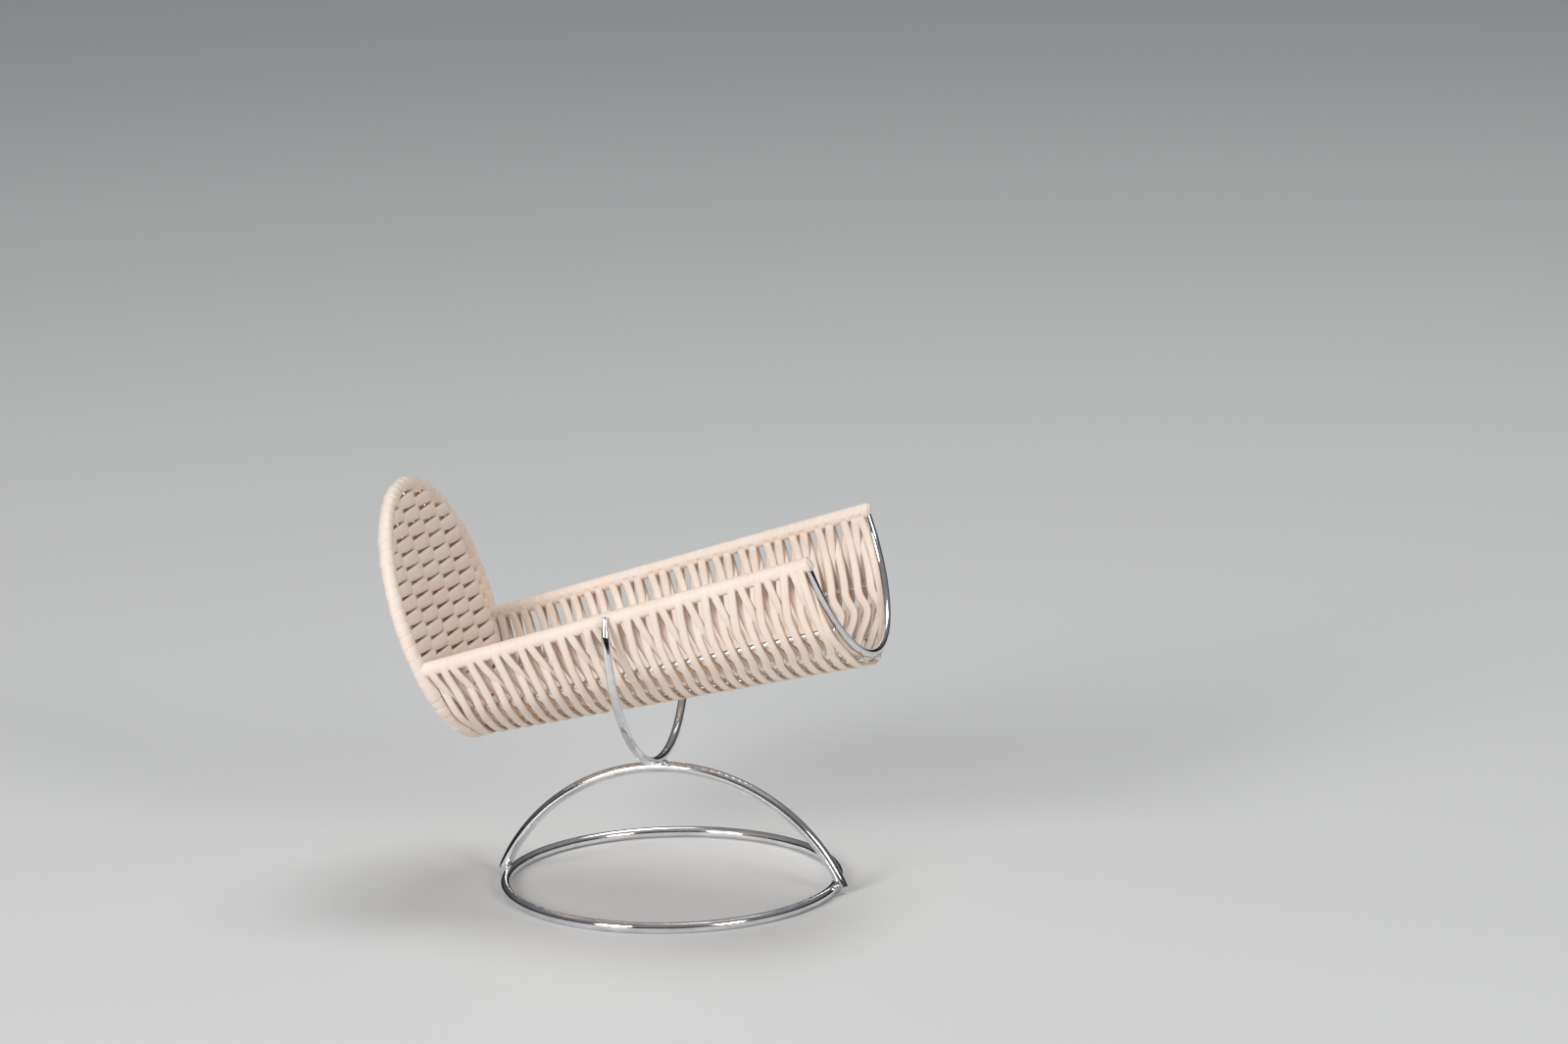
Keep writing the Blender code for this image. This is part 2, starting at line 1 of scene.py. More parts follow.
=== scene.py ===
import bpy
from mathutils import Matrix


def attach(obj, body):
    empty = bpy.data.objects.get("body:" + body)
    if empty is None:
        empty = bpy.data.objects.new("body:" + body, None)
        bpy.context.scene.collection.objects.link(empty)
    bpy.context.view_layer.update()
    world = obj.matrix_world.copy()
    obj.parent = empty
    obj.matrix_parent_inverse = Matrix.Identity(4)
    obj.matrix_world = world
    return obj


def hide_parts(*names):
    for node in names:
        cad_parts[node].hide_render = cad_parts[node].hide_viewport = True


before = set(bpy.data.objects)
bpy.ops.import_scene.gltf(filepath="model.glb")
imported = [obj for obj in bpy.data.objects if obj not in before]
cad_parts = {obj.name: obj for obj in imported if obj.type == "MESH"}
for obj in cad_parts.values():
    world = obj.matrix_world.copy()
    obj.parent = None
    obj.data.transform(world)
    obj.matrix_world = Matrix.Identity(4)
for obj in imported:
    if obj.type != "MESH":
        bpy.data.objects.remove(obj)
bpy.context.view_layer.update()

import math
import random

import bpy
from mathutils import Matrix, Vector

random.seed(11)
scene = bpy.context.scene
mm = 0.001
fullTurn = 2.0 * math.pi
# how far to each side a point is taken to find a direction, as a share or in radians
nearby = 0.01
print("frame loaded:", len(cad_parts), "nodes")


# Camera of the photograph, solved from points on the stand, the rims, the mouth and the end plate

view = {
    "place": (0.67234, -2.24789, 0.70585),
    "target": (0.05998, 0.0, 0.14814),
    "roll": -0.0198877,
    "lens": 142.71317,
    "sensor": 36.0,
    "farthest": 100.0,
}


def addCamera():
    place, target = Vector(view["place"]), Vector(view["target"])
    ahead = (target - place).normalized()
    right = ahead.cross(Vector((0.0, 0.0, 1.0))).normalized()
    up = right.cross(ahead)
    turn = view["roll"]
    rolledRight = right * math.cos(turn) + up * math.sin(turn)
    rolledUp = up * math.cos(turn) - right * math.sin(turn)
    axes = Matrix((rolledRight, rolledUp, -ahead)).transposed()
    bpy.ops.object.camera_add(location=place, rotation=axes.to_euler())
    camera = bpy.context.object
    camera.name = "camera"
    camera.data.sensor_width = view["sensor"]
    camera.data.lens = view["lens"]
    camera.data.clip_end = view["farthest"]
    scene.camera = camera


addCamera()
print("camera placed")


# Cradle and stand, as in the CAD

layout = {
    "standX": 11.5409 * mm,
    "tilt": math.radians(12.8),
    "cradleX": -76.2531 * mm,
    "cradleZ": 64.0235 * mm,
}
# in mm, because strands and turns are placed in mm along the trough
troughLength = 165.0
plateOval = {
    "halfWidth": 47.0 * mm, "halfHeight": 50.4 * mm, "bottom": -4.0 * mm, "rim": 31.1 * mm,
    "lean": math.radians(5.7), "start": 0.0,
}
mouthOval = {
    "halfWidth": 45.3 * mm, "halfHeight": 48.2 * mm, "bottom": -1.5 * mm, "rim": 45.2 * mm,
    "lean": math.radians(7.0), "start": troughLength * mm,
}
# rails and weave pass the mouth wire on its outside, from the mid rails up less and less
seat = {"depth": 2.9 * mm, "fullTo": 0.62}
# left is +Y; the sign goes with the girth
sides = {"Left": 1.0, "Right": -1.0}


def fromCradle(along, across, up):
    cosine, sine = math.cos(layout["tilt"]), math.sin(layout["tilt"])
    return Vector((
        along * cosine - up * sine + layout["cradleX"] + layout["standX"],
        across,
        along * sine + up * cosine + layout["cradleZ"],
    ))


def fromStand(x, y, z):
    return Vector((x + layout["standX"], y, z))


# A point of an oval, angle 0 at its bottom, moved outward square to the oval
def ovalPoint(oval, angle, outward=0.0):
    normal = Vector((
        oval["halfHeight"] * math.sin(angle), -oval["halfWidth"] * math.cos(angle)
    )).normalized()
    across = oval["halfWidth"] * math.sin(angle) + normal.x * outward
    centre = oval["bottom"] + oval["halfHeight"]
    up = centre - oval["halfHeight"] * math.cos(angle) + normal.y * outward
    return fromCradle(
        oval["start"] - up * math.sin(oval["lean"]), across, up * math.cos(oval["lean"])
    )


def angleAt(oval, height):
    return math.acos((oval["bottom"] + oval["halfHeight"] - height) / oval["halfHeight"])


def girthPoint(oval, girth, outward=0.0):
    return ovalPoint(oval, girth * angleAt(oval, oval["rim"]), outward)


def seatAt(girth):
    return seat["depth"] * max(0.0, min(1.0, (1.0 - abs(girth)) / (1.0 - seat["fullTo"])))


# share runs from the end plate, 0, to the mouth, 1; girth from the bottom, 0, to a rim, 1 or -1
def troughPoint(share, girth):
    rear = girthPoint(plateOval, girth)
    front = girthPoint(mouthOval, girth, seatAt(girth))
    return rear.lerp(front, share)


# The way along the trough, out of it, and up along its wall
def troughAxes(share, girth):
    along = (troughPoint(share + nearby, girth) - troughPoint(share - nearby, girth)).normalized()
    climb = (troughPoint(share, girth + nearby) - troughPoint(share, girth - nearby)).normalized()
    out = climb.cross(along).normalized()
    return along, out, along.cross(out)


def deselectAll():
    bpy.ops.object.select_all(action="DESELECT")


def finishShape(piece, name, body="root"):
    piece.name = name
    piece.data.name = name
    deselectAll()
    piece.select_set(True)
    bpy.context.view_layer.objects.active = piece
    bpy.ops.object.transform_apply(location=True, rotation=True, scale=True)
    bpy.ops.object.shade_smooth()
    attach(piece, body)
    return piece


def joinPieces(pieces, name):
    deselectAll()
    for piece in pieces:
        piece.select_set(True)
    bpy.context.view_layer.objects.active = pieces[0]
    bpy.ops.object.join()
    return finishShape(bpy.context.view_layer.objects.active, name)


meshSettings = {
    # points closer than this become one
    "merge": 0.01 * mm,
    "wireRoundness": 6, "softEnd": 0.25 * mm, "softSteps": 3, "sharpFrom": math.radians(50.0),
    "cordFacets": 10, "cordSquareness": 0.8, "uvPerMetre": 100.0,
}


def cleanMesh(fillEnds=False):
    bpy.ops.object.mode_set(mode="EDIT")
    bpy.ops.mesh.select_all(action="SELECT")
    bpy.ops.mesh.remove_doubles(threshold=meshSettings["merge"])
    if fillEnds:
        bpy.ops.mesh.fill_holes(sides=0)
        bpy.ops.mesh.select_all(action="SELECT")
    bpy.ops.mesh.normals_make_consistent(inside=False)
    bpy.ops.object.mode_set(mode="OBJECT")


# A round wire through the points, with softened ends; thickness gives each point's share
def bendWire(name, points, radius, closed=False, thickness=None, softEnd=meshSettings["softEnd"]):
    deselectAll()
    bpy.ops.curve.primitive_nurbs_path_add()
    wire = bpy.context.object
    wire.location = (0.0, 0.0, 0.0)
    curve = wire.data
    curve.splines.clear()
    spline = curve.splines.new("POLY")
    spline.points.add(len(points) - 1)
    spline.use_cyclic_u = closed
    for index, point in enumerate(points):
        spline.points[index].co = (*point, 1.0)
        if thickness:
            spline.points[index].radius = thickness[index]
    curve.bevel_depth = radius
    curve.bevel_resolution = meshSettings["wireRoundness"]
    curve.use_fill_caps = not closed
    bpy.ops.object.convert(target="MESH")
    wire = bpy.context.object
    cleanMesh()
    if softEnd and not closed:
        modifier = wire.modifiers.new("softEnds", "BEVEL")
        modifier.width = softEnd
        modifier.segments = meshSettings["softSteps"]
        modifier.limit_method = "ANGLE"
        modifier.angle_limit = meshSettings["sharpFrom"]
        bpy.ops.object.modifier_apply(modifier=modifier.name)
    return finishShape(wire, name)


# Squares off a circle's sine or cosine a little, for a flattened cord
def squared(value, power):
    return math.copysign(abs(value) ** power, value)


# A flat cord along the rows; each row is a centre, the way across, the way out, and a swell
def layCord(rows, width, depth, facets=meshSettings["cordFacets"], ring=False,
            power=meshSettings["cordSquareness"]):
    count = len(rows) - 1
    lengths = [0.0]
    for before, after in zip(rows, rows[1:]):
        lengths.append(lengths[-1] + (after[0] - before[0]).length)
    deselectAll()
    bpy.ops.mesh.primitive_grid_add(x_subdivisions=facets, y_subdivisions=count, size=1.0)
    cord = bpy.context.object
    shape = cord.data
    rowOf = {}
    for vertex in shape.vertices:
        turn = fullTurn * (vertex.co.x + 0.5)
        row = round((vertex.co.y + 0.5) * count)
        rowOf[vertex.index] = row
        centre, across, out, swell = rows[row]
        vertex.co = (
            centre
            + across * (squared(math.cos(turn), power) * width / 2.0 * swell)
            + out * (squared(math.sin(turn), power) * depth / 2.0 * min(1.0, swell))
        )
    marks = shape.uv_layers.active.data
    for loop in shape.loops:
        marks[loop.index].uv.y = lengths[rowOf[loop.vertex_index]] * meshSettings["uvPerMetre"]
    cleanMesh(fillEnds=not ring)
    bpy.ops.object.shade_smooth()
    return cord


def addCopy(piece, place):
    copy = piece.copy()
    copy.data = piece.data.copy()
    copy.data.transform(place)
    scene.collection.objects.link(copy)
    return copy


# The height at a place between knots, (place, height) pairs in order, joined by eased steps
def smoothThrough(knots, value):
    if value <= knots[0][0]:
        return knots[0][1]
    if value >= knots[-1][0]:
        return knots[-1][1]
    index = 0
    while value > knots[index + 1][0]:
        index += 1

    def slope(at):
        if at == 0:
            return 0.0
        before, after = knots[at - 1], knots[min(at + 1, len(knots) - 1)]
        return (after[1] - before[1]) / (after[0] - before[0])

    low, high = knots[index], knots[index + 1]
    span = high[0] - low[0]
    t = (value - low[0]) / span
    return (
        (2 * t ** 3 - 3 * t ** 2 + 1) * low[1] + (t ** 3 - 2 * t ** 2 + t) * span * slope(index)
        + (-2 * t ** 3 + 3 * t ** 2) * high[1] + (t ** 3 - t ** 2) * span * slope(index + 1)
    )


# Finishes

def addNode(tree, kind, inputs=None, **settings):
    node = tree.nodes.new(kind)
    for key, value in settings.items():
        setattr(node, key, value)
    for key, value in (inputs or {}).items():
        node.inputs[key].default_value = value
    return node


def startMaterial(name):
    material = bpy.data.materials.new(name)
    material.use_nodes = True
    return material, material.node_tree.nodes["Principled BSDF"]


# Two colours, each with its place on the ramp
def addRamp(tree, *stops):
    ramp = addNode(tree, "ShaderNodeValToRGB")
    for index, (place, colour) in enumerate(stops):
        ramp.color_ramp.elements[index].position = place
        ramp.color_ramp.elements[index].color = colour
    return ramp


# Uneven sheen: the noise sets the roughness
def addSheen(tree, noise, shader, spread):
    sheen = addNode(tree, "ShaderNodeMapRange", spread)
    tree.links.new(noise.outputs["Fac"], sheen.inputs["Value"])
    tree.links.new(sheen.outputs["Result"], shader.inputs["Roughness"])


def addBump(tree, noise, shader, relief):
    bump = addNode(tree, "ShaderNodeBump", relief)
    tree.links.new(noise.outputs["Fac"], bump.inputs["Height"])
    tree.links.new(bump.outputs["Normal"], shader.inputs["Normal"])


chromeFinish = {
    "dull": (0.38, (0.74, 0.74, 0.76, 1.0)),
    "bright": (0.62, (0.88, 0.88, 0.89, 1.0)),
    "haze": {"Scale": 90.0, "Detail": 4.0, "Roughness": 0.6},
    "sheen": {"From Min": 0.35, "From Max": 0.70, "To Min": 0.05, "To Max": 0.14},
    "ripple": {"Scale": 420.0, "Detail": 2.0},
    "relief": {"Strength": 0.05, "Distance": 0.0002},
}


def chromeMaterial(name):
    material, shader = startMaterial(name)
    tree = material.node_tree
    shader.inputs["Metallic"].default_value = 1.0
    coords = addNode(tree, "ShaderNodeTexCoord")
    haze = addNode(tree, "ShaderNodeTexNoise", chromeFinish["haze"])
    tree.links.new(coords.outputs["Object"], haze.inputs["Vector"])
    tint = addRamp(tree, chromeFinish["dull"], chromeFinish["bright"])
    tree.links.new(haze.outputs["Fac"], tint.inputs["Fac"])
    tree.links.new(tint.outputs["Color"], shader.inputs["Base Color"])
    addSheen(tree, haze, shader, chromeFinish["sheen"])
    ripple = addNode(tree, "ShaderNodeTexNoise", chromeFinish["ripple"])
    tree.links.new(coords.outputs["Object"], ripple.inputs["Vector"])
    addBump(tree, ripple, shader, chromeFinish["relief"])
    return material


cordFinish = {
    # the tan at a strand's thin edges is painted shade, standing in for the shade and warm bounce
    # between strands
    "edge": (0.10, (0.58, 0.36, 0.19, 1.0)),
    "face": (0.62, (0.93, 0.78, 0.66, 1.0)),
    "pale": (0.94, 0.85, 0.77, 1.0),
    "specular": 0.4,
    "clouds": {"Scale": 60.0, "Detail": 3.0, "Roughness": 0.55},
    "paling": {"From Min": 0.40, "From Max": 0.68, "To Min": 0.0, "To Max": 0.55},
    "grain": {"Scale": 1.0, "Detail": 3.0, "Roughness": 0.6},
    # the grain is fine across a cord and long along it
    "grainStretch": (26.0, 1.3, 1.0),
    "sheen": {"From Min": 0.35, "From Max": 0.65, "To Min": 0.36, "To Max": 0.58},
    "relief": {"Strength": 0.35, "Distance": 0.00012},
}
# the mix node's sockets for its share, its two colours and its result
mixShare, mixFirst, mixSecond, mixResult = 0, 6, 7, 2


# Ivory cord: painted shade in tan at the two thin edges of a strand, where neighbouring strands
# shade each other, fine grain along it, uneven sheen from the roughness
def cordMaterial(name):
    material, shader = startMaterial(name)
    tree = material.node_tree
    shader.inputs["Specular IOR Level"].default_value = cordFinish["specular"]
    coords = addNode(tree, "ShaderNodeTexCoord")
    split = addNode(tree, "ShaderNodeSeparateXYZ")
    tree.links.new(coords.outputs["UV"], split.inputs["Vector"])
    turn = addNode(tree, "ShaderNodeMath", {1: fullTurn}, operation="MULTIPLY")
    tree.links.new(split.outputs["X"], turn.inputs[0])
    wave = addNode(tree, "ShaderNodeMath", operation="SINE")
    tree.links.new(turn.outputs["Value"], wave.inputs[0])
    face = addNode(tree, "ShaderNodeMath", operation="ABSOLUTE")
    tree.links.new(wave.outputs["Value"], face.inputs[0])
    # painted shade: the ramp darkens the cord to tan towards the two thin edges of its section
    edgeTone = addRamp(tree, cordFinish["edge"], cordFinish["face"])
    tree.links.new(face.outputs["Value"], edgeTone.inputs["Fac"])

    clouds = addNode(tree, "ShaderNodeTexNoise", cordFinish["clouds"])
    tree.links.new(coords.outputs["Object"], clouds.inputs["Vector"])
    lift = addNode(tree, "ShaderNodeMapRange", cordFinish["paling"])
    tree.links.new(clouds.outputs["Fac"], lift.inputs["Value"])
    blend = addNode(tree, "ShaderNodeMix", {mixSecond: cordFinish["pale"]}, data_type="RGBA")
    tree.links.new(lift.outputs["Result"], blend.inputs[mixShare])
    tree.links.new(edgeTone.outputs["Color"], blend.inputs[mixFirst])
    tree.links.new(blend.outputs[mixResult], shader.inputs["Base Color"])

    stretch = addNode(tree, "ShaderNodeMapping", {"Scale": cordFinish["grainStretch"]})
    tree.links.new(coords.outputs["UV"], stretch.inputs["Vector"])
    grain = addNode(tree, "ShaderNodeTexNoise", cordFinish["grain"])
    tree.links.new(stretch.outputs["Vector"], grain.inputs["Vector"])
    addSheen(tree, grain, shader, cordFinish["sheen"])
    addBump(tree, grain, shader, cordFinish["relief"])
    return material


standChrome = chromeMaterial("standChrome")
cradleChrome = chromeMaterial("cradleChrome")
weaveCord = cordMaterial("weaveCord")
borderCord = cordMaterial("borderCord")
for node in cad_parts.values():
    corded = node.name in ("trough_weave", "plate_weave", "plate_border")
    node.data.materials.clear()
    node.data.materials.append(weaveCord if corded else cradleChrome)


def finishPiece(piece, material, slot, *nodes):
    piece.data.materials.clear()
    piece.data.materials.append(material)
    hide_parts(*nodes)


print("finishes ready")


# Stand

ringSettings = {
    "radius": 65.6 * mm, "wire": 2.1 * mm, "height": 2.1 * mm, "segments": 200, "facets": 24,
}


def makeRing():
    deselectAll()
    bpy.ops.mesh.primitive_torus_add(
        major_radius=ringSettings["radius"], minor_radius=ringSettings["wire"],
        major_segments=ringSettings["segments"], minor_segments=ringSettings["facets"],
        location=fromStand(0.0, 0.0, ringSettings["height"]),
    )
    ring = finishShape(bpy.context.object, "baseRing")
    finishPiece(ring, standChrome, "stand_chrome", "base_ring")


weldSettings = {
    # place and size: under the hoop's foot, and at the arch's two feet
    "hoop": ((-2.8 * mm, 0.0, 49.0 * mm), (5.2 * mm, 4.6 * mm, 3.4 * mm)),
    "footLeft": ((-67.6 * mm, 0.0, 3.4 * mm), (3.8 * mm, 4.6 * mm, 3.0 * mm)),
    "footRight": ((67.6 * mm, 0.0, 3.4 * mm), (3.8 * mm, 4.6 * mm, 3.0 * mm)),
    "unevenness": 0.22 * mm, "facetSteps": 2, "smoothSteps": 2,
}


# A lump of weld metal, uneven as it cooled; the growing count of meshes makes each one different
def addWeld(place, size):
    deselectAll()
    bpy.ops.mesh.primitive_ico_sphere_add(
        subdivisions=weldSettings["facetSteps"], radius=0.5, location=fromStand(*place)
    )
    weld = bpy.context.object
    bpy.ops.object.mode_set(mode="EDIT")
    bpy.ops.mesh.select_all(action="SELECT")
    bpy.ops.transform.resize(value=size)
    bpy.ops.transform.vertex_random(offset=weldSettings["unevenness"], seed=len(bpy.data.meshes))
    bpy.ops.object.mode_set(mode="OBJECT")
    smooth = weld.modifiers.new("smooth", "SUBSURF")
    smooth.levels = weldSettings["smoothSteps"]
    bpy.ops.object.modifier_apply(modifier=smooth.name)
    return weld


archSettings = {
    "radius": 75.94 * mm, "centreHeight": -28.44 * mm, "wire": 2.15 * mm, "steps": 96,
    # the wire is bent on below its feet, which are then cut level and softened
    "pathEnd": 1.0 * mm, "endHeight": 2.9 * mm, "softEdge": 0.3 * mm, "softSteps": 3,
}


def makeArch():
    radius, centreHeight = archSettings["radius"], archSettings["centreHeight"]
    last = math.acos((archSettings["pathEnd"] - centreHeight) / radius)
    points = []
    for step in range(archSettings["steps"] + 1):
        angle = last * (2.0 * step / archSettings["steps"] - 1.0)
        points.append(fromStand(
            radius * math.sin(angle), 0.0, centreHeight + radius * math.cos(angle)
        ))
    arch = bendWire("archWire", points, archSettings["wire"], softEnd=0.0)
    bpy.ops.object.mode_set(mode="EDIT")
    bpy.ops.mesh.select_all(action="SELECT")
    bpy.ops.mesh.bisect(
        plane_co=(0.0, 0.0, archSettings["endHeight"]), plane_no=(0.0, 0.0, 1.0),
        clear_inner=True, use_fill=True,
    )
    bpy.ops.mesh.bevel(
        offset=archSettings["softEdge"], segments=archSettings["softSteps"], affect="EDGES"
    )
    bpy.ops.object.mode_set(mode="OBJECT")
    welds = [addWeld(*weldSettings[spot]) for spot in ("hoop", "footLeft", "footRight")]
    arch = joinPieces([arch] + welds, "archWire")
    finishPiece(arch, standChrome, "stand_chrome", "arch")


hoopSettings = {
    "radius": 51.69266 * mm, "foot": (-2.8 * mm, 0.0, 51.65122 * mm),
    "lean": math.radians(6.0), "tipAngle": math.radians(109.0), "wire": 1.7 * mm, "steps": 140,
    # the tips thin down to this share of the wire, over this angle
    "tip": 0.5, "thinning": math.radians(8.0),
}


def hoopPoint(angle):
    up = hoopSettings["radius"] * (1.0 - math.cos(angle))
    footX, footY, footZ = hoopSettings["foot"]
    return fromStand(
        footX - up * math.sin(hoopSettings["lean"]),
        footY + hoopSettings["radius"] * math.sin(angle),
        footZ + up * math.cos(hoopSettings["lean"]),
    )


def makeHoop():
    points, thickness = [], []
    for step in range(hoopSettings["steps"] + 1):
        angle = hoopSettings["tipAngle"] * (2.0 * step / hoopSettings["steps"] - 1.0)
        left = (hoopSettings["tipAngle"] - abs(angle)) / hoopSettings["thinning"]
        points.append(hoopPoint(angle))
        thickness.append(smoothThrough([(0.0, hoopSettings["tip"]), (1.0, 1.0)], left))
    hoop = bendWire("hoopWire", points, hoopSettings["wire"], thickness=thickness)
    finishPiece(hoop, standChrome, "stand_chrome", "hoop")


makeRing()
makeArch()
makeHoop()
print("stand made")


# Wires of the cradle

wireSettings = {
    "mouth": 1.5 * mm, "plate": 1.45 * mm, "rim": 1.4 * mm, "rail": 1.1 * mm, "stake": 1.0 * mm,
    # how high the mouth wire's ends reach, and how many steps an oval wire has
    "mouthTop": 43.4 * mm, "ovalSteps": 120,
    # girth at the end plate and at the mouth, as in the CAD
    "midRail": (0.61, 0.62), "lowRail": (0.21, 0.28),
    # long wires stop short of the plate's wire; the rims run on past the mouth wire
    "rearStop": 1.9 * mm, "rimOverrun": 1.4 * mm,
    "stakesPerSide": 2, "stakeSpacing": 16.8 * mm, "stakeStop": 2.0 * mm,
}


def makeMouthWire():
    top = angleAt(mouthOval, wireSettings["mouthTop"])
    steps = wireSettings["ovalSteps"]
    points = [ovalPoint(mouthOval, top * (2.0 * step / steps - 1.0)) for step in range(steps + 1)]
    wire = bendWire("mouthWire", points, wireSettings["mouth"])
    finishPiece(wire, cradleChrome, "cradle_chrome", "front_wire")


def makeLongWire(name, node, rearGirth, frontGirth, radius, overrun=0.0):
    rear = girthPoint(plateOval, rearGirth)
    front = girthPoint(mouthOval, frontGirth, seatAt(frontGirth))
    along = (front - rear).normalized()
    points = [rear + along * wireSettings["rearStop"], front + along * overrun]
    wire = bendWire(name, points, radius)
    finishPiece(wire, cradleChrome, "cradle_chrome", node)


def makeLongWires():
    rail = wireSettings["rail"]
    lowRear, lowFront = wireSettings["lowRail"]
    midRear, midFront = wireSettings["midRail"]
    makeLongWire("bottomRail", "bottom_rail", 0.0, 0.0, rail)
    for side, sign in sides.items():
        tag = side.lower()
        makeLongWire("lowRail" + side, "low_rail_" + tag, sign * lowRear, sign * lowFront, rail)
        makeLongWire("midRail" + side, "mid_rail_" + tag, sign * midRear, sign * midFront, rail)
        makeLongWire("rimWire" + side, "rim_wire_" + tag, sign, sign,
                     wireSettings["rim"], wireSettings["rimOverrun"])


def makePlateFrame():
    steps, perSide = wireSettings["ovalSteps"], wireSettings["stakesPerSide"]
    points = [ovalPoint(plateOval, fullTurn * step / steps) for step in range(steps)]
    wire = bendWire("plateFrame", points, wireSettings["plate"], closed=True)
    finishPiece(wire, cradleChrome, "cradle_chrome", "plate_frame")
    for number in range(1, 2 * perSide + 2):
        across = (number - perSide - 1) * wireSettings["stakeSpacing"]
        angle = math.asin(across / plateOval["halfWidth"])
        low, high = ovalPoint(plateOval, angle), ovalPoint(plateOval, math.pi - angle)
        up = (high - low).normalized()
        slant = math.atan2(
            plateOval["halfHeight"] * math.sin(angle), plateOval["halfWidth"] * math.cos(angle)
        )
        stop = wireSettings["stakeStop"] / math.cos(slant)
        stake = bendWire("plateStake{}".format(number), [low + up * stop, high - up * stop],
                         wireSettings["stake"])
        finishPiece(stake, cradleChrome, "cradle_chrome", "plate_stake_{}".format(number))


makeMouthWire()
makeLongWires()
makePlateFrame()
print("cradle wires made")


# Woven trough: two layers of cord that lean opposite ways and hold the rails between them.
# Places along the trough and distances out of its wall are in mm

weaveSettings = {
    "strands": 31, "width": 3.4 * mm, "depth": 1.65 * mm, "rows": 72,
    # the first strand at the mid rail, the pitch there, and how near to the ends a strand may lie
    "first": 4.2, "pitch": 5.352, "low": 5.0, "high": 162.4,
    # where the first pair reaches the rim, and how far on the next is, past a slim or a wide gap
    "rimFirst": 5.2, "slimStep": 5.05, "wideStep": 6.05,
    # wide and slim gaps take turns; at these pairs a wide gap follows a wide one
    "wideTwice": (10, 15),
    # how far out a strand lies on a rail, between the bottom and the low rail, and between rails
    "onRail": 1.75, "underLow": 1.1, "betweenRails": 0.85,
    # girth at which a strand is at its place on the rim, and where one that stays behind it ends
    "atRim": 0.985, "behindEnd": 0.98,
    # degrees round the rim wire, for a strand that goes over it, and how far off its middle
    "overRim": (22, 45, 67, 90, 112, 135, 157, 180, 200), "overRadius": 2.1,
}
# A layer's course. along: girth at the end plate and how much more it is at the mouth, then the
# place past the strand's own at the mid rail, and how much more it is at the mouth. front and
# behind: girth and how far out, up to the rim wire. arrival: the place past the pair's at the rim
outerCourse = {
    "layer": 1.0,
    "along": (
        (0.0, 0.0, -3.4, 0.0), (0.345, 0.085, -3.1, 0.3), (0.475, 0.06, -1.9, 1.9),
        (0.66, 0.02, 0.15, 1.0), (0.76, 0.0, 0.7, 0.8),
    ),
    "front": [(0.82, 1.2), (0.92, 1.7), (0.97, 2.1)], "frontArrival": -0.9,
    "behind": [(0.82, -0.2), (0.91, -0.9), (0.97, -2.0)], "behindArrival": -1.2,
}
innerCourse = {
    "layer": -1.0,
    "along": (
        (0.0, 0.0, -1.5, 0.0), (0.25, 0.0, -0.5, 0.0), (0.37, 0.10, -0.7, 2.8),
        (0.50, 0.065, -2.4, 2.0), (0.60, 0.065, -2.2, 2.0),
    ),
    "front": [(0.82, 0.2), (0.91, 1.4), (0.97, 2.1)], "frontArrival": -2.0,
    "behind": [(0.82, -1.2), (0.92, -1.5), (0.97, -2.0)], "behindArrival": -1.2,
}


def railPlace(index):
    return weaveSettings["first"] + weaveSettings["pitch"] * index


# Whether the gap before a pair is wide; there the outer strand stays in front up to the rim
def isWide(pair):
    passed = sum(1 for place in weaveSettings["wideTwice"] if pair >= place)
    return (pair + passed) % 2 == 1


def rimPlace(pair):
    if pair < 0:
        return weaveSettings["rimFirst"] + weaveSettings["pitch"] * pair
    place = weaveSettings["rimFirst"]
    for step in range(1, pair + 1):
        place += weaveSettings["wideStep" if isWide(step) else "slimStep"]
    return place


def clampAlong(value):
    return min(max(value, weaveSettings["low"]), weaveSettings["high"])


# Where a strand lies along the trough and how far out, against girth; and whether it ends in
# front of the rim wire or behind it
def strandKnots(index, course):
    place = railPlace(index)
    share = min(max(place / troughLength, 0.0), 1.0)
    low, mid = (
        rear + (front - rear) * share
        for rear, front in (wireSettings["lowRail"], wireSettings["midRail"])
    )
    layer = course["layer"]
    outer = layer > 0.0
    pair = index if outer else index - 1
    front = isWide(pair) == outer
    along = [
        (girth + girthMore * share, place + past + pastMore * share)
        for girth, girthMore, past, pastMore in course["along"]
    ]
    arrival = course["frontArrival" if front else "behindArrival"]
    along.append((weaveSettings["atRim"], rimPlace(pair) + arrival))
    along = [(girth, clampAlong(value)) for girth, value in along]
    onRail = weaveSettings["onRail"] * layer
    out = [
        (0.0, onRail), (low / 2.0, weaveSettings["underLow"] * layer), (low, onRail),
        ((low + mid) / 2.0, weaveSettings["betweenRails"] * layer), (mid, onRail),
    ]
    return along, out + course["front" if front else "behind"], front


# The turn over the rim wire and a little way down inside, from the outside in
def overRim(along, sign):
    out, up = troughAxes(along, sign)[1:]
    if up.z < 0:
        up = -up
    middle = troughPoint(along, sign)
    over = []
    for degrees in weaveSettings["overRim"]:
        turn = math.radians(degrees)
        away = out * math.cos(turn) + up * math.sin(turn)
        over.append((middle + away * weaveSettings["overRadius"] * mm, away, along))
    return over


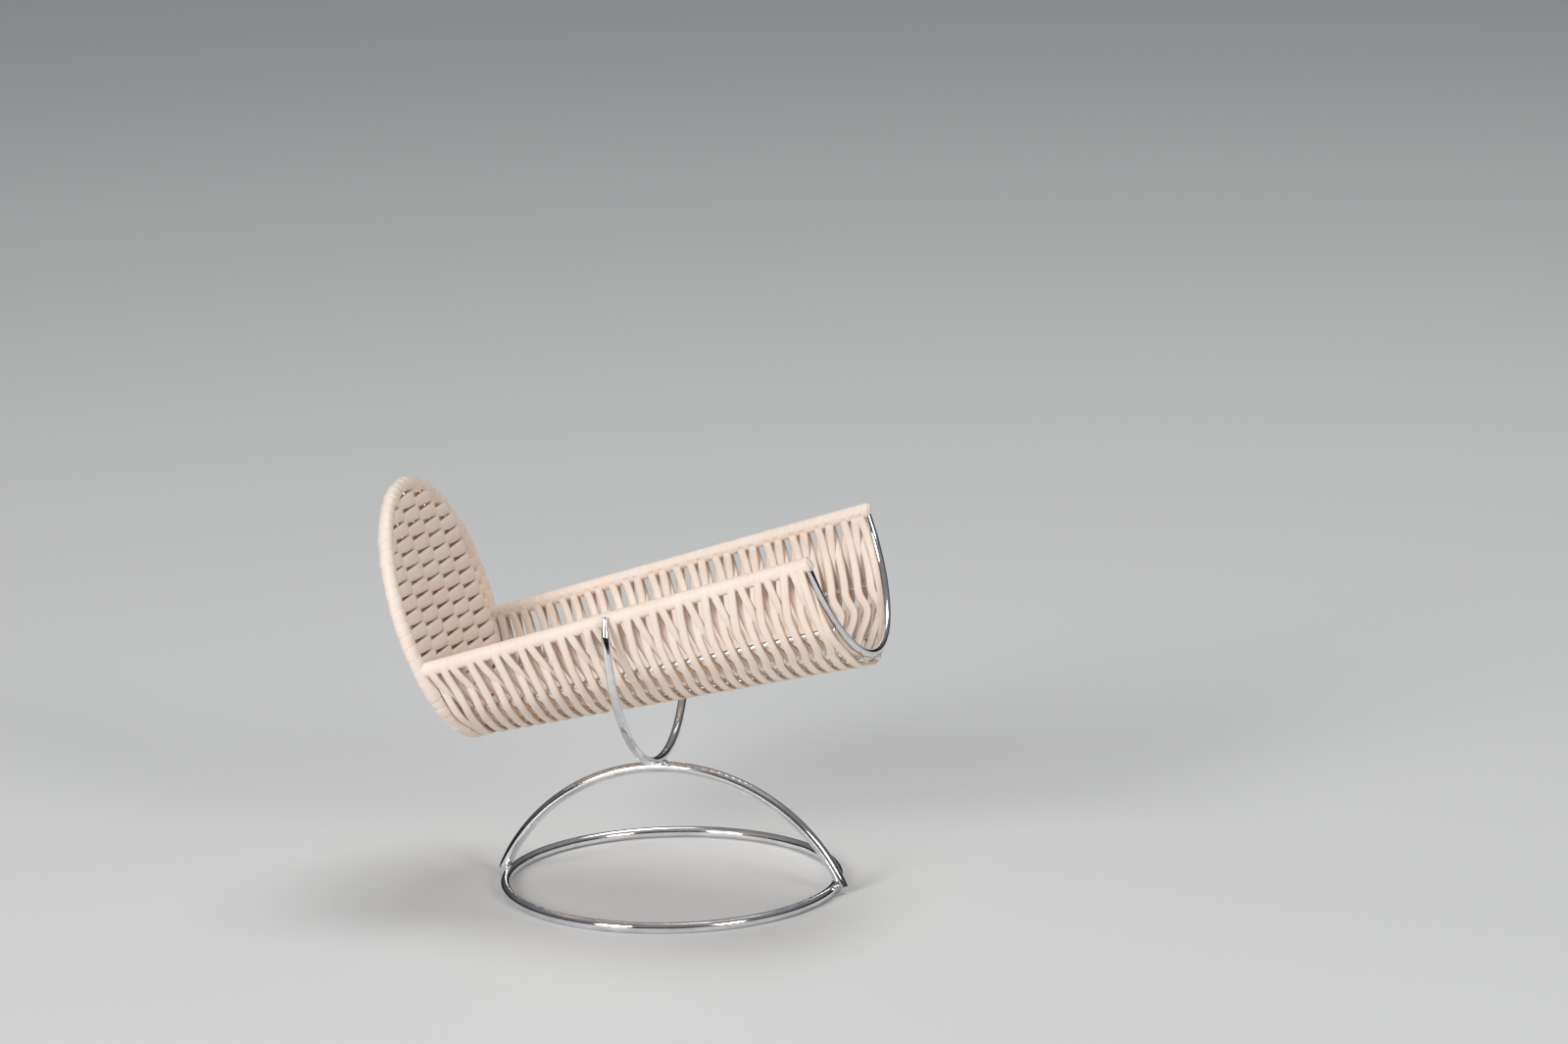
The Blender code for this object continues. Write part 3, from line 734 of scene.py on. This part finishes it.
def strandRows(index, course):
    alongKnots, outKnots, front = strandKnots(index, course)

    def place(girth):
        along = smoothThrough(alongKnots, abs(girth)) / troughLength
        out = troughAxes(along, girth)[1]
        height = smoothThrough(outKnots, abs(girth)) * mm
        return troughPoint(along, girth) + out * height, out, along

    limit = 1.0 if front else weaveSettings["behindEnd"]
    count = weaveSettings["rows"]
    centres = [place(limit * (2.0 * step / count - 1.0)) for step in range(count + 1)]
    if front:
        before, after = overRim(centres[0][2], -1.0), overRim(centres[-1][2], 1.0)
        centres = before[::-1] + centres + after
    rows = []
    for number, (centre, out, along) in enumerate(centres):
        before = centres[max(number - 1, 0)][0]
        after = centres[min(number + 1, len(centres) - 1)][0]
        ahead = (after - before).normalized()
        across = ahead.cross(out).normalized()
        rows.append((centre, across, across.cross(ahead).normalized(), 1.0))
    return rows


def makeTroughWeave():
    courses = {"troughOuterCords": outerCourse, "troughInnerCords": innerCourse}
    cords = {name: [] for name in courses}
    for index in range(weaveSettings["strands"]):
        for name, course in courses.items():
            rows = strandRows(index, course)
            cords[name].append(layCord(rows, weaveSettings["width"], weaveSettings["depth"]))
    for name, strands in cords.items():
        layer = joinPieces(strands, name)
        finishPiece(layer, weaveCord, "weave_cord", "trough_weave")


makeTroughWeave()
print("trough woven")


# Short turns of cord round a wire, modelled once and copied

turnSettings = {"steps": 16, "facets": 12, "slant": 0.35 * mm, "squareness": 0.5}


# power below 1 squares the cord's section off, so that turns side by side make a smooth band;
# onEnd lays the cord flat on the end of the wire, its face outward
def modelTurn(radius, width, depth, power=turnSettings["squareness"], onEnd=False):
    rows = []
    for step in range(turnSettings["steps"] + 1):
        turn = fullTurn * step / turnSettings["steps"]
        away = Vector((0.0, math.cos(turn), math.sin(turn)))
        centre = away * radius + Vector((turnSettings["slant"] * math.sin(turn), 0.0, 0.0))
        ahead = Vector((1.0, 0.0, 0.0))
        across, out = (away, ahead) if onEnd else (ahead, away)
        rows.append((centre, across, out, 1.0))
    return layCord(rows, width, depth, facets=turnSettings["facets"], ring=True, power=power)


def placeOn(centre, along, out, stretch=1.0, grow=1.0):
    third = along.cross(out).normalized()
    axes = Matrix((along, out, third)).transposed().to_4x4()
    size = Matrix.Diagonal((stretch, grow, grow, 1.0))
    return Matrix.Translation(centre) @ axes @ size


rimSettings = {
    # along the rim in mm: first and last turn, and the step between two
    "first": 3.2, "last": 164.3, "step": 2.75,
    "radius": 2.05 * mm, "width": 4.3 * mm, "depth": 1.6 * mm,
    # how much a turn may differ along the wire and off it
    "stretch": (0.96, 1.08), "grow": (0.99, 1.025),
    # the turn that closes the corner at the mouth
    "end": 165.9, "endRadius": 0.95 * mm, "endWidth": 3.0 * mm, "endDepth": 2.7 * mm,
    "endSquareness": 1.0,
}


def makeRimWraps():
    model = modelTurn(rimSettings["radius"], rimSettings["width"], rimSettings["depth"])
    endModel = modelTurn(
        rimSettings["endRadius"], rimSettings["endWidth"], rimSettings["endDepth"],
        power=rimSettings["endSquareness"], onEnd=True,
    )
    span = rimSettings["last"] - rimSettings["first"]
    count = round(span / rimSettings["step"])
    for side, sign in sides.items():
        turns = []
        for number in range(count + 1):
            share = (rimSettings["first"] + span * number / count) / troughLength
            ruling, out = troughAxes(share, sign)[:2]
            turns.append(addCopy(model, placeOn(
                troughPoint(share, sign), ruling, out,
                stretch=random.uniform(*rimSettings["stretch"]),
                grow=random.uniform(*rimSettings["grow"]),
            )))
        share = rimSettings["end"] / troughLength
        ruling, out = troughAxes(share, sign)[:2]
        turns.append(addCopy(endModel, placeOn(troughPoint(share, sign), ruling, out)))
        wraps = joinPieces(turns, "rimWraps" + side)
        finishPiece(wraps, weaveCord, "weave_cord", "trough_weave")
    bpy.data.objects.remove(model, do_unlink=True)
    bpy.data.objects.remove(endModel, do_unlink=True)


makeRimWraps()
print("rims wrapped")


# End plate: a wound border and a plain weave round the stakes

borderSettings = {
    "turns": 66, "radius": 2.2 * mm, "width": 6.2 * mm, "depth": 1.5 * mm,
    # how much a turn may lean, in radians, and differ along the wire and off it
    "tilt": (-0.12, 0.12), "stretch": (0.9, 1.1), "grow": (0.96, 1.06),
}


def makePlateBorder():
    model = modelTurn(borderSettings["radius"], borderSettings["width"], borderSettings["depth"])
    turns = []
    for number in range(borderSettings["turns"]):
        angle = fullTurn * number / borderSettings["turns"]
        centre = ovalPoint(plateOval, angle)
        before, after = ovalPoint(plateOval, angle - nearby), ovalPoint(plateOval, angle + nearby)
        along = (after - before).normalized()
        out = (ovalPoint(plateOval, angle, mm) - centre).normalized()
        tilt = Matrix.Rotation(random.uniform(*borderSettings["tilt"]), 3, out)
        turns.append(addCopy(model, placeOn(
            centre, tilt @ along, out,
            stretch=random.uniform(*borderSettings["stretch"]),
            grow=random.uniform(*borderSettings["grow"]),
        )))
    border = joinPieces(turns, "plateBorder")
    finishPiece(border, borderCord, "border_cord", "plate_border")
    bpy.data.objects.remove(model, do_unlink=True)


plateSettings = {
    "pitch": 2.86 * mm, "width": 5.6 * mm, "depth": 2.2 * mm,
    # how far a cord swings before and behind the stakes, and how squarely
    "over": 1.75 * mm, "squareness": 0.8,
    # cords stay clear of the oval's top and bottom and of its wire; very short ones are left out
    "topMargin": 3.0 * mm, "sideMargin": 1.0 * mm, "shortest": 4.0 * mm,
    "step": 1.6 * mm, "fewestSteps": 8,
    # share of the width between two stakes, what comes on at a stake, and a cord's own difference
    "slim": 0.74, "swell": 0.26, "difference": (-0.10, 0.10), "differenceShare": 0.4,
}


def makePlateWeave():
    halfWidth, halfHeight, lean = (plateOval[key] for key in ("halfWidth", "halfHeight", "lean"))
    pitch, spacing = plateSettings["pitch"], wireSettings["stakeSpacing"]
    rise = fromCradle(-math.sin(lean), 0.0, math.cos(lean)) - fromCradle(0.0, 0.0, 0.0)
    rows = int(2.0 * (halfHeight - plateSettings["topMargin"]) / pitch)
    cords = []
    for number in range(rows + 1):
        height = (number - rows / 2.0) * pitch
        reach = halfWidth * math.sqrt(
            max(0.0, 1.0 - (height / halfHeight) ** 2)
        ) - plateSettings["sideMargin"]
        if reach < plateSettings["shortest"]:
            continue
        steps = max(plateSettings["fewestSteps"], int(2.0 * reach / plateSettings["step"]))
        up = plateOval["bottom"] + halfHeight + height
        centres, swells = [], []
        difference = random.uniform(*plateSettings["difference"])
        for step in range(steps + 1):
            across = reach * (2.0 * step / steps - 1.0)
            wave = math.cos(math.pi * across / spacing) * (1.0 if number % 2 else -1.0)
            depth = squared(wave, plateSettings["squareness"]) * plateSettings["over"]
            centres.append(fromCradle(
                -up * math.sin(lean) - depth * math.cos(lean), across,
                up * math.cos(lean) - depth * math.sin(lean),
            ))
            swells.append(
                plateSettings["slim"] + plateSettings["swell"] * abs(wave)
                + difference * plateSettings["differenceShare"]
            )
        cordRows = []
        for index, centre in enumerate(centres):
            before, after = centres[max(index - 1, 0)], centres[min(index + 1, steps)]
            ahead = (after - before).normalized()
            cordRows.append((centre, rise, ahead.cross(rise).normalized(), swells[index]))
        cords.append(layCord(cordRows, plateSettings["width"], plateSettings["depth"]))
    weave = joinPieces(cords, "plateWeave")
    finishPiece(weave, weaveCord, "weave_cord", "plate_weave")


makePlateBorder()
makePlateWeave()
print("end plate woven")


# Studio

studio = {
    "floorSize": 30.0,
    "floor": (0.80, 0.80, 0.79, 1.0), "floorRoughness": 0.55, "floorSpecular": 0.2,
    # the room is dark at eye level, which gives the chrome its dark edges, and light overhead
    "room": (0.12, (0.03, 0.03, 0.035, 1.0)),
    "ceiling": (0.75, (0.86, 0.89, 0.94, 1.0)),
    "skyStrength": 0.28,
    "lamps": [
        # place, target, size, watts
        ((-0.9, -2.0, 1.0), (0.0, 0.0, 0.07), 0.9, 33.0),
        ((1.7, -1.2, 0.9), (0.0, 0.0, 0.07), 0.7, 12.5),
        ((0.2, 0.6, 2.1), (0.0, 0.0, 0.07), 1.0, 15.0),
    ],
}


def addFloor():
    deselectAll()
    bpy.ops.mesh.primitive_plane_add(size=studio["floorSize"], location=(0.0, 0.0, 0.0))
    floor = bpy.context.object
    floor.name = "floor"
    material, shader = startMaterial("paleFloor")
    shader.inputs["Base Color"].default_value = studio["floor"]
    shader.inputs["Roughness"].default_value = studio["floorRoughness"]
    shader.inputs["Specular IOR Level"].default_value = studio["floorSpecular"]
    floor.data.materials.append(material)


def addRoom():
    world = bpy.data.worlds.new("softRoom")
    world.use_nodes = True
    tree = world.node_tree
    sky = tree.nodes["Background"]
    sky.inputs["Strength"].default_value = studio["skyStrength"]
    coords = addNode(tree, "ShaderNodeTexCoord")
    split = addNode(tree, "ShaderNodeSeparateXYZ")
    tree.links.new(coords.outputs["Generated"], split.inputs["Vector"])
    fade = addRamp(tree, studio["room"], studio["ceiling"])
    tree.links.new(split.outputs["Z"], fade.inputs["Fac"])
    tree.links.new(fade.outputs["Color"], sky.inputs["Color"])
    scene.world = world


def addLamps():
    for number, (place, target, size, watts) in enumerate(studio["lamps"]):
        aim = (Vector(target) - Vector(place)).to_track_quat("-Z", "Y")
        bpy.ops.object.light_add(type="AREA", location=place, rotation=aim.to_euler())
        lamp = bpy.context.object
        lamp.name = "lamp{}".format(number + 1)
        lamp.data.shape = "SQUARE"
        lamp.data.size = size
        lamp.data.energy = watts


addFloor()
addRoom()
addLamps()
scene.view_settings.view_transform = "Standard"
print("studio lit")
